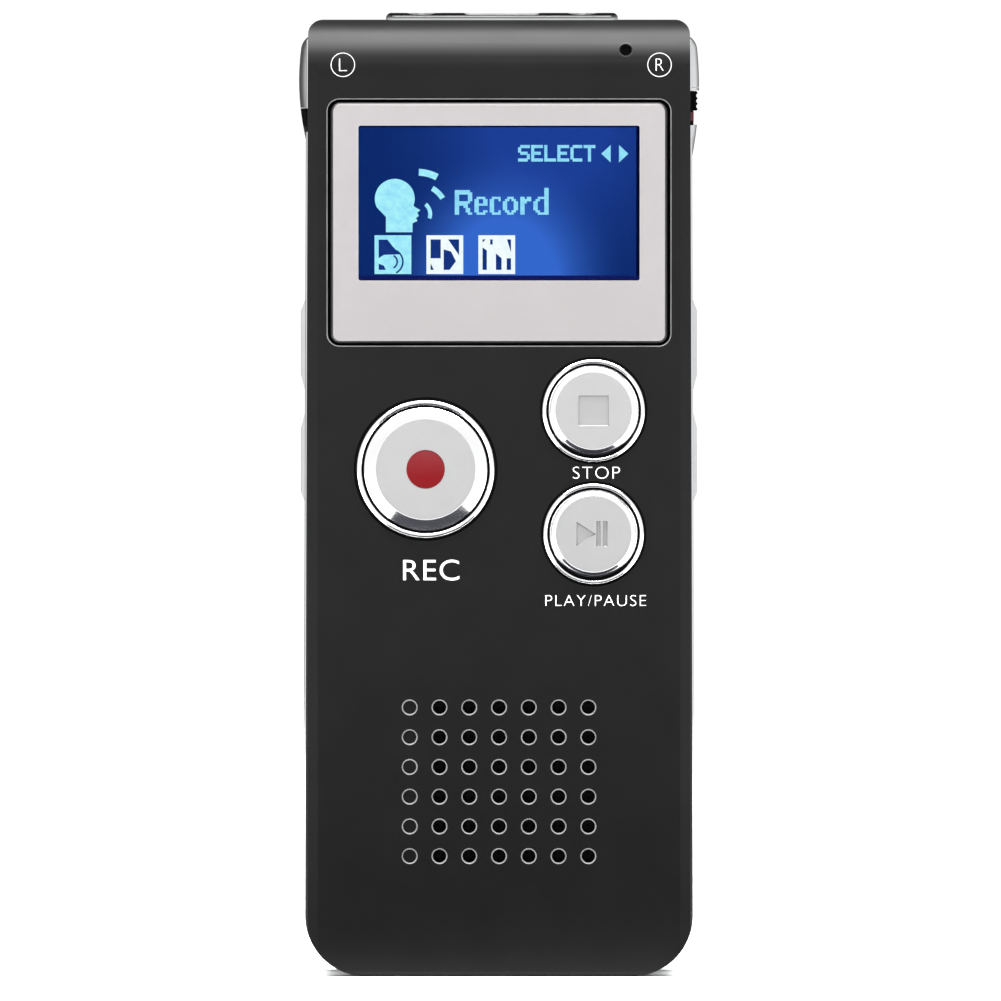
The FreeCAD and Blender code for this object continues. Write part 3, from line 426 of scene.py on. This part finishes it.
# The last two colours are the painted shade at the back of the chamfer and the painted highlight on the
# edges.
silver = silver_bezel("satin_silver", (0.362, 0.347, 0.350), (0.335, 0.321, 0.324), (0.004, 0.004, 0.004),
                      (0.6, 0.59, 0.59))
inlay = engraved_inlay("inlay_silver", (0.386, 0.386, 0.386), (0.361, 0.361, 0.361), (0.35, 0.35, 0.35))
lens = clear("clear_acrylic", (1.0, 1.0, 1.0), 0.02, 1.04)
smoked = clear("smoked_acrylic", (0.02, 0.02, 0.022), 0.05, 1.15)
red_gloss = red_enamel("red_gloss", (0.098, 0.0006, 0.002), (0.102, 0.014, 0.017), 0.35, 0.1)
red_matt = coated("red_matt", (0.05, 0.006, 0.01), (0.065, 0.008, 0.012), 0.5, 0.0001, 0.000002, specular=0.3)
white_plastic = coated("white_plastic", (0.78, 0.78, 0.76), (0.7, 0.7, 0.68), 0.45, 0.0003, 0.000003)
amber_film = coated("amber_film", (0.42, 0.17, 0.03), (0.5, 0.22, 0.05), 0.3, 0.0006, 0.000003)
board_green = coated("board_green", (0.012, 0.11, 0.045), (0.02, 0.15, 0.06), 0.32, 0.0005, 0.000006)
chip_black = coated("chip_black", (0.014, 0.014, 0.015), (0.02, 0.02, 0.02), 0.5, 0.00012, 0.000003)
ceramic_tan = coated("ceramic_tan", (0.36, 0.25, 0.14), (0.45, 0.33, 0.2), 0.4, 0.0002, 0.000003)
cell_foil = coated("cell_foil", (0.5, 0.5, 0.52), (0.6, 0.6, 0.62), 0.35, 0.0012, 0.00001)
tape_black = coated("tape_black", (0.02, 0.02, 0.02), (0.03, 0.03, 0.03), 0.45, 0.0003, 0.000006)
wire_red = coated("wire_red", (0.4, 0.02, 0.02), (0.5, 0.03, 0.03), 0.4, 0.0004, 0.000003)
rubber_black = coated("rubber_black", (0.016, 0.016, 0.016), (0.022, 0.022, 0.022), 0.7, 0.0002, 0.000006)
paper_cone = coated("paper_cone", (0.04, 0.04, 0.04), (0.055, 0.055, 0.055), 0.75, 0.0002, 0.00001)


def gauze(name):
    """Fine woven cloth: two crossed sets of threads."""
    s = Shader(name)
    threads = []
    for scale in ((1.0, 0.0, 0.0), (0.0, 0.0, 1.0)):
        wave = s.add("ShaderNodeTexWave", wave_type="BANDS", bands_direction="DIAGONAL")
        s.link(s.stretched(scale), wave.inputs["Vector"])
        wave.inputs["Scale"].default_value = 900.0
        wave.inputs["Distortion"].default_value = 0.4
        threads.append(wave.outputs["Fac"])
    weave = s.maths("MAXIMUM", *threads)
    s.principled(
        s.mix(s.spread(weave, 0.0, 1.0), (0.0005, 0.0005, 0.0005), (0.002, 0.002, 0.002)),
        Roughness=0.9,
        Specular_IOR_Level=0.05,
        Normal=s.bump(weave, 0.00002),
    )
    return s.material


cloth_black = gauze("cloth_black")


def lit_display(name):
    """The backlit display: blue, brightest low in the middle, darker at the sides and the top left."""
    s = Shader(name)

    def glow(x, z, reach_x, reach_z):
        """1 at the point x, z in millimetres, falling to 0 at the reach."""
        mapping = s.add("ShaderNodeMapping")
        s.link(s.place, mapping.inputs["Vector"])
        mapping.inputs["Scale"].default_value = (1 / (reach_x * MM), 0.0, 1 / (reach_z * MM))
        mapping.inputs["Location"].default_value = (-x / reach_x, 0.0, -z / reach_z)
        ball = s.add("ShaderNodeTexGradient", gradient_type="QUADRATIC_SPHERE")
        s.link(mapping.outputs["Vector"], ball.inputs["Vector"])
        return ball.outputs["Fac"]

    tint = s.mix(s.noise(0.004, 2.0), (0.0031, 0.0205, 0.138), (0.0040, 0.0240, 0.158))
    tint = s.mix(s.spread(glow(5.0, 87.0, 20.0, 22.0), 0.0, 1.0, 0.0, 0.5), tint, (0.0110, 0.0470, 0.300))
    tint = s.mix(s.spread(glow(0.5, 71.0, 12.5, 14.0), 0.0, 1.0, 0.0, 0.32), tint, (0.0340, 0.1350, 0.600))
    emission = s.add("ShaderNodeEmission")
    s.link(tint, emission.inputs["Color"])
    s.link(emission.outputs["Emission"], s.output.inputs["Surface"])
    return s.material


def lit_mark(name, low, high):
    """A lit segment of the display, a little uneven."""
    s = Shader(name)
    emission = s.add("ShaderNodeEmission")
    s.link(s.mix(s.spread(s.noise(0.0006, 2.0), 0.0, 1.0), low, high), emission.inputs["Color"])
    s.link(emission.outputs["Emission"], s.output.inputs["Surface"])
    return s.material


lcd_blue = lit_display("lcd_blue")
lcd_cyan = lit_mark("lcd_cyan", (0.290, 0.740, 0.940), (0.400, 0.900, 0.970))
lcd_letters = lit_mark("lcd_letters", (0.230, 0.640, 0.900), (0.310, 0.780, 0.950))
lcd_white = lit_mark("lcd_white", (0.800, 0.930, 0.970), (0.920, 1.000, 1.000))
lcd_ink = lit_mark("lcd_ink", (0.0068, 0.0300, 0.190), (0.0085, 0.0360, 0.225))
lcd_dark = lit_mark("lcd_dark", (0.0048, 0.0095, 0.098), (0.0058, 0.0110, 0.112))
lcd_shadow = lit_mark("lcd_shadow", (0.0010, 0.0020, 0.020), (0.0014, 0.0030, 0.028))
label_grey = coated("label_grey", (0.4, 0.4, 0.4), (0.46, 0.46, 0.46), 0.5, 0.0001, 0.000001)
label_white = coated("label_white", (0.78, 0.78, 0.78), (0.86, 0.86, 0.86), 0.5, 0.0001, 0.000001)

FINISHES = {
    black_anodised: ["front_cover"],
    black_moulding: ["rear_cover"],
    chrome: ["left_mic_cap", "right_mic_cap", "volume_rocker", "track_rocker"],
    frame_chrome: ["mid_frame"],
    plate_chrome: ["jack_plate"],
    key_chrome: ["rec_ring", "stop_ring", "play_ring", "rec_cap"],
    small_key_chrome: ["stop_cap", "play_cap"],
    silver: ["window_bezel"],
    inlay: ["rec_inlay", "stop_inlay", "play_inlay"],
    lens: ["window_lens"],
    smoked: ["led_lens"],
    lcd_blue: ["lcd_glass"],
    red_gloss: ["rec_dot", "record_led"],
    red_matt: ["hold_mark"],
    black_plastic: ["hold_lever", "hold_switch_body", "headphone_jack", "line_in_jack",
                    "front_tact_switches", "side_tact_switches", "usb_tongue"],
    deep_black: ["inner_chassis", "strap_bar", "hold_liner", "hold_knob"],
    white_plastic: ["lcd_backlight", "rec_plunger", "stop_plunger", "play_plunger", "volume_plungers",
                    "track_plungers"],
    steel: ["lcd_frame", "usb_shell", "speaker_basket", "speaker_magnet", "mic_capsules", "rear_screws",
            "rocker_pins"],
    amber_film: ["lcd_flex"],
    board_green: ["main_board"],
    chip_black: ["soc_chip", "flash_chip"],
    ceramic_tan: ["passives"],
    cell_foil: ["battery"],
    tape_black: ["battery_tape"],
    wire_red: ["battery_leads", "speaker_leads"],
    rubber_black: ["mic_boots"],
    cloth_black: ["speaker_cloth"],
    paper_cone: ["speaker_cone"],
}
for material, names in FINISHES.items():
    for name in names:
        for material_slot in nodes[name].material_slots:
            material_slot.material = material


# ---- flat pieces: printing on the cover and marks on the display ----
PRINT_THICKNESS = 0.006


def plate(name, outlines, back, thickness, material):
    """A piece cut from flat stock: each (x, z) outline in millimetres, standing forward from y = back."""
    mesh = bmesh.new()
    for outline in outlines:
        ring = [mesh.verts.new((x * MM, back * MM, z * MM)) for x, z in outline]
        face = mesh.faces.new(ring)
        made = bmesh.ops.extrude_face_region(mesh, geom=[face])
        moved = [g for g in made["geom"] if isinstance(g, bmesh.types.BMVert)]
        bmesh.ops.translate(mesh, vec=(0, -thickness * MM, 0), verts=moved)
    bmesh.ops.recalc_face_normals(mesh, faces=mesh.faces)
    data = bpy.data.meshes.new(name)
    mesh.to_mesh(data)
    mesh.free()
    return placed(name, data, material)


def placed(name, data, material):
    piece = bpy.data.objects.new(name, data)
    bpy.context.scene.collection.objects.link(piece)
    data.materials.clear()
    data.materials.append(material)
    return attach(piece, CASE)


def lettering(name, text, left, right, low, high, front, material, weight=0.0, spacing=1.0):
    """Words fitted between left and right, and low and high, in mm, with their front at y = front."""
    curve = bpy.data.curves.new(name, "FONT")
    curve.body = text
    curve.offset = weight
    curve.space_character = spacing
    curve.extrude = 0.01
    curve.resolution_u = 6
    holder = bpy.data.objects.new(name + "_curve", curve)
    bpy.context.scene.collection.objects.link(holder)
    bpy.context.view_layer.update()
    seen = holder.evaluated_get(bpy.context.evaluated_depsgraph_get())
    data = bpy.data.meshes.new_from_object(seen)
    bpy.data.objects.remove(holder)
    data.name = name
    xs = [v.co.x for v in data.vertices]
    ys = [v.co.y for v in data.vertices]
    first_x = min(xs)
    first_up = min(ys)
    wide = (right - left) / (max(xs) - first_x)
    tall = (high - low) / (max(ys) - first_up)
    for vertex in data.vertices:
        x, up, out = vertex.co
        depth = PRINT_THICKNESS if out < 0 else 0.0
        across = left + (x - first_x) * wide
        height = low + (up - first_up) * tall
        vertex.co = (across * MM, (front + depth) * MM, height * MM)
    return placed(name, data, material)


def arc(x, z, radius, start, end, count=24):
    """Points along an arc, angles in degrees from +X towards +Z."""
    turns = [math.radians(start + (end - start) * n / count) for n in range(count + 1)]
    return [(x + radius * math.cos(t), z + radius * math.sin(t)) for t in turns]


def band(x, z, inner, outer, start, end, count=24):
    """The outline of a thick arc."""
    return arc(x, z, outer, start, end, count) + arc(x, z, inner, end, start, count)


def hoop(x, z, inner, outer):
    """The outlines of a full ring, as two halves."""
    return [band(x, z, inner, outer, 0, 180), band(x, z, inner, outer, 180, 360)]


def block(x0, x1, z0, z1):
    return [(x0, z0), (x1, z0), (x1, z1), (x0, z1)]


PRINT_BACK = cover_front - 0.002
PRINT_FRONT = PRINT_BACK - PRINT_THICKNESS

lettering("label_rec", "REC", -9.75, -4.05, 40.35, 42.45, PRINT_FRONT, label_white,
          -0.006, 1.06)
lettering("label_stop", "STOP", 7.5, 12.3, 50.7, 51.92, PRINT_FRONT, label_white,
          -0.02, 1.12)
lettering("label_play", "PLAY/PAUSE", 4.72, 14.95, 37.75, 38.85, PRINT_FRONT, label_white,
          -0.022, 1.12)
for centre, letter in ((-15.87, "L"), (16.31, "R")):
    plate(f"channel_ring_{letter}", hoop(centre, 92.78, 1.155, 1.24), PRINT_BACK, PRINT_THICKNESS,
          label_grey)
    lettering(f"channel_letter_{letter}", letter, centre - 0.38, centre + 0.42, 92.15, 93.4, PRINT_FRONT,
              label_white, -0.028)

# ---- display ----
glass_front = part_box("lcd_glass")[0].y / MM
MARK_BACK = glass_front - 0.004
MARK_DEPTH = 0.008
view_low, view_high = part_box("window_lens")


def marks(name, outlines, material, lift=0.0):
    return plate(name, outlines, MARK_BACK - lift, MARK_DEPTH, material)


FOOT_TOP = 71.35  # top of the dark strip along the display's foot
SHADOW_LEFT = 13.95  # left side of the shadow down the display's right edge
view_left, view_right = view_low.x / MM, view_high.x / MM
view_foot, view_top = view_low.z / MM, view_high.z / MM
marks("display_foot", [block(view_left, view_right, view_foot, FOOT_TOP)], lcd_dark)
marks("display_right_edge", [block(SHADOW_LEFT, view_right, FOOT_TOP, view_top)], lcd_shadow)
marks("display_top_edge", [block(view_left, SHADOW_LEFT, view_top - 0.16, view_top)], lcd_shadow)
DOTS = {
    "S": (".####", "#....", "#....", ".###.", "....#", "....#", "####."),
    "E": ("#####", "#....", "#....", "####.", "#....", "#....", "#####"),
    "L": ("#....", "#....", "#....", "#....", "#....", "#....", "#####"),
    "C": (".####", "#....", "#....", "#....", "#....", "#....", ".####"),
    "T": ("#####", "..#..", "..#..", "..#..", "..#..", "..#..", "..#.."),
    "R": ("#######.", "########", "##....##", "##....##", "##....##", "#######.", "######..", "##..##..",
          "##...##.", "##...##.", "##....##"),
    "e": (".####.", "##..##", "##..##", "######", "##....", "##....", "##..##", ".####."),
    "c": (".####", "##..#", "##...", "##...", "##...", "##...", "##..#", ".####"),
    "o": ("..###..", ".##.##.", "##...##", "##...##", "##...##", "##...##", ".##.##.", "..###.."),
    "r": ("##.##", "#####", "###..", "##...", "##...", "##...", "##...", "##..."),
    "d": (".....##", ".....##", ".....##", ".....##", "..#####", ".##..##", "##...##", "##...##", "##...##",
          "##...##", ".##..##", "..#####"),
}
DOT = 0.228


def dot_word(word, left, low, wide, swell=0.0):
    """The runs of lit dots that spell a word, each dot wide by DOT, grown by swell all round."""
    runs = []
    for letter in word:
        rows = DOTS[letter]
        for count, row in enumerate(reversed(rows)):
            start = 0
            while start < len(row):
                if row[start] != "#":
                    start += 1
                    continue
                stop = start
                while stop < len(row) and row[stop] == "#":
                    stop += 1
                x0 = left + start * wide - swell
                x1 = left + stop * wide + swell
                z0 = low + count * DOT - swell
                runs.append(block(x0, x1, z0, z0 + DOT + 2 * swell))
                start = stop
        left += (len(rows[0]) + 1) * wide
    return runs


marks("display_select", dot_word("SELECT", 1.98, 82.98, 0.222, 0.045), lcd_letters)
marks("display_arrows", [[(11.35, 82.85), (11.35, 84.62), (10.4, 83.73)],
                         [(12.2, 82.85), (13.15, 83.73), (12.2, 84.62)]], lcd_letters)
marks("display_record", dot_word("Record", -4.5, 77.53, 0.222), lcd_letters)


def talking_head():
    """A plain round head, its nose and lips to the right, with three strokes of sound."""
    skull = arc(-10.6, 79.15, 2.03, 205, -20, 28)
    profile = [(-8.55, 78.3), (-8.0, 78.0), (-8.3, 77.75), (-8.15, 77.4), (-8.45, 77.2), (-8.3, 76.9),
               (-8.8, 76.65), (-8.8, 75.75), (-11.5, 75.75), (-11.5, 77.3)]
    strokes = [band(-8.3, 77.6, 1.1, 1.5, -20, 50, 8), band(-8.3, 77.6, 2.75, 3.3, 32, 60, 6),
               band(-8.3, 77.6, 3.9, 4.6, 62, 88, 6)]
    return [skull + profile] + strokes


marks("display_head", talking_head(), lcd_cyan)

ICON_LOW, ICON_HIGH = 71.5, 75.44
ICON_WIDTH = 3.74
INK_LIFT = 0.003


def shifted(left, outline):
    return [(left + x, ICON_LOW + z) for x, z in outline]


def voice_icon(left):
    """Dark on light: a loudspeaker on a dark ground, with two strokes of sound."""
    ground = [(0.42, 3.5), (1.3, 3.5), (1.9, 2.75), (2.6, 2.0), (0.95, 1.95), (0.42, 1.6)]
    foot = [(0.42, 1.05), (0.95, 0.85), (1.15, 0.42), (0.42, 0.42)]
    outlines = [shifted(left, ground), shifted(left, foot)]
    outlines += [band(left + 1.6, ICON_LOW + 1.25, reach, reach + 0.17, -62, 62, 10) for reach in (0.62, 1.2)]
    return outlines


def music_icon(left):
    """Dark on light: what is left round a quaver."""
    beside = [(0.42, 1.6), (1.45, 1.6), (1.45, 3.52), (0.42, 3.52)]
    corner = [(2.2, 3.52), (3.32, 3.52), (3.32, 1.9)]
    below = [(1.75, 0.42), (2.35, 0.42), (3.0, 1.3), (2.5, 2.3), (1.75, 2.5)]
    foot = [(0.42, 0.42), (0.75, 0.42), (0.42, 1.1)]
    return [shifted(left, outline) for outline in (beside, corner, below, foot)]


def tool_icon(left):
    """Dark on light: what is left round a spanner and a screwdriver."""
    outlines = [
        [(0.42, 0.42), (0.86, 0.42), (0.86, 2.4), (0.42, 2.7)],
        [(1.78, 0.42), (2.36, 0.42), (2.36, 1.6), (1.78, 2.1)],
        [(2.88, 0.42), (3.32, 0.42), (3.32, 1.6), (2.88, 1.6)],
        [(2.9, 3.52), (3.32, 3.52), (3.32, 2.2)],
        [(1.2, 3.52), (1.45, 3.52), (1.45, 3.0), (1.2, 3.0)],
        [(0.42, 3.52), (0.75, 3.52), (0.42, 3.2)],
    ]
    return [shifted(left, outline) for outline in outlines]


def icon_square(left):
    return [block(left, left + ICON_WIDTH, ICON_LOW, ICON_HIGH)]


ICONS = (
    ("voice", -12.66, voice_icon, lcd_cyan),
    ("music", -7.38, music_icon, lcd_white),
    ("tool", -2.1, tool_icon, lcd_white),
)
for name, left, drawing, light in ICONS:
    marks(f"display_{name}_square", icon_square(left), light)
    marks(f"display_{name}_drawing", drawing(left), lcd_ink, INK_LIFT)

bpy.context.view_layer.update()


# ---- stage: floor, light, camera ----
def stage_plane(name, x0, x1, y0, y1, z, colour):
    data = bpy.data.meshes.new(name)
    data.from_pydata([(x0, y0, z), (x1, y0, z), (x1, y1, z), (x0, y1, z)], [], [(0, 1, 2, 3)])
    plane = bpy.data.objects.new(name, data)
    bpy.context.scene.collection.objects.link(plane)
    s = Shader(name)
    s.principled(colour, Roughness=0.6, Specular_IOR_Level=0.1)
    data.materials.append(s.material)
    return plane


stage_plane("floor", -0.5, 0.5, -0.6, 0.4, -0.00002, (0.92, 0.92, 0.92))
dark_card = stage_plane("dark_card", -0.044, 0.044, -0.3, -0.0140, 0.0002, (0.008, 0.0085, 0.011))
dark_card.visible_camera = False
dark_card.visible_diffuse = False
dark_card.visible_shadow = False
dark_card.visible_transmission = False


def soft_light(name, place, target, width, height, power):
    data = bpy.data.lights.new(name, "AREA")
    data.shape = "RECTANGLE"
    data.size = width
    data.size_y = height
    data.energy = power
    lamp = bpy.data.objects.new(name, data)
    bpy.context.scene.collection.objects.link(lamp)
    lamp.location = place
    lamp.rotation_euler = (Vector(target) - Vector(place)).to_track_quat("-Z", "Y").to_euler()
    lamp.visible_camera = False


MIDDLE = (0.0, 0.0, 0.05)
soft_light("top_light", (0.0, -0.09, 0.7), MIDDLE, 0.9, 0.54, 30.0)

ROOM = 1.12  # strength of the white room that the object reflects


def studio_world():
    """A white room, as the camera sees it.

    What the object reflects is white in front and at the sides, and grey at the back.
    """
    world = bpy.data.worlds.new("studio")
    bpy.context.scene.world = world
    world.use_nodes = True
    tree = world.node_tree
    tree.nodes.clear()

    def span(value, start, end, low, high):
        node = tree.nodes.new("ShaderNodeMapRange")
        node.interpolation_type = "SMOOTHSTEP"
        tree.links.new(value, node.inputs["Value"])
        for name, number in (("From Min", start), ("From Max", end), ("To Min", low), ("To Max", high)):
            node.inputs[name].default_value = number
        return node.outputs["Result"]

    def maths(operation, first, second):
        node = tree.nodes.new("ShaderNodeMath")
        node.operation = operation
        for socket, value in zip(node.inputs, (first, second)):
            if isinstance(value, float):
                socket.default_value = value
            else:
                tree.links.new(value, socket)
        return node.outputs[0]

    direction = tree.nodes.new("ShaderNodeSeparateXYZ")
    tree.links.new(tree.nodes.new("ShaderNodeTexCoord").outputs["Generated"], direction.inputs["Vector"])
    back = maths("SUBTRACT", direction.outputs["Y"], maths("MULTIPLY", direction.outputs["X"], 0.25))
    walls = span(back, 0.45, 1.0, ROOM, 0.12)
    ceiling = span(direction.outputs["Z"], 0.3, 0.7, 0.0, 0.9)
    dimmed = maths("MULTIPLY", ceiling, span(direction.outputs["Y"], 0.05, 0.2, 0.0, 1.0))
    lit = tree.nodes.new("ShaderNodeBackground")
    tree.links.new(maths("MULTIPLY", walls, maths("SUBTRACT", 1.0, dimmed)), lit.inputs["Strength"])
    seen = tree.nodes.new("ShaderNodeBackground")
    seen.inputs["Strength"].default_value = 1.05
    for background in (lit, seen):
        background.inputs["Color"].default_value = (1.0, 1.0, 1.0, 1.0)
    choose = tree.nodes.new("ShaderNodeMixShader")
    tree.links.new(tree.nodes.new("ShaderNodeLightPath").outputs["Is Camera Ray"], choose.inputs["Fac"])
    tree.links.new(lit.outputs["Background"], choose.inputs[1])
    tree.links.new(seen.outputs["Background"], choose.inputs[2])
    output = tree.nodes.new("ShaderNodeOutputWorld")
    tree.links.new(choose.outputs["Shader"], output.inputs["Surface"])


studio_world()

LENS_LENGTH = 600.0
SENSOR = 36.0
FRAME_WIDTH = 0.1018
TILT = math.radians(2.0)
AIM = Vector((0.00015, cover_front * MM, 0.04848))
distance = FRAME_WIDTH * LENS_LENGTH / SENSOR
camera_data = bpy.data.cameras.new("camera")
camera_data.lens = LENS_LENGTH
camera_data.sensor_width = SENSOR
camera_data.clip_start = 0.05
camera_data.clip_end = 30.0
camera = bpy.data.objects.new("camera", camera_data)
bpy.context.scene.collection.objects.link(camera)
camera.location = AIM + Vector((0.0, -math.cos(TILT), math.sin(TILT))) * distance
camera.rotation_euler = (math.radians(90.0) - TILT, 0.0, 0.0)
bpy.context.scene.camera = camera
bpy.context.scene.view_settings.view_transform = "Standard"
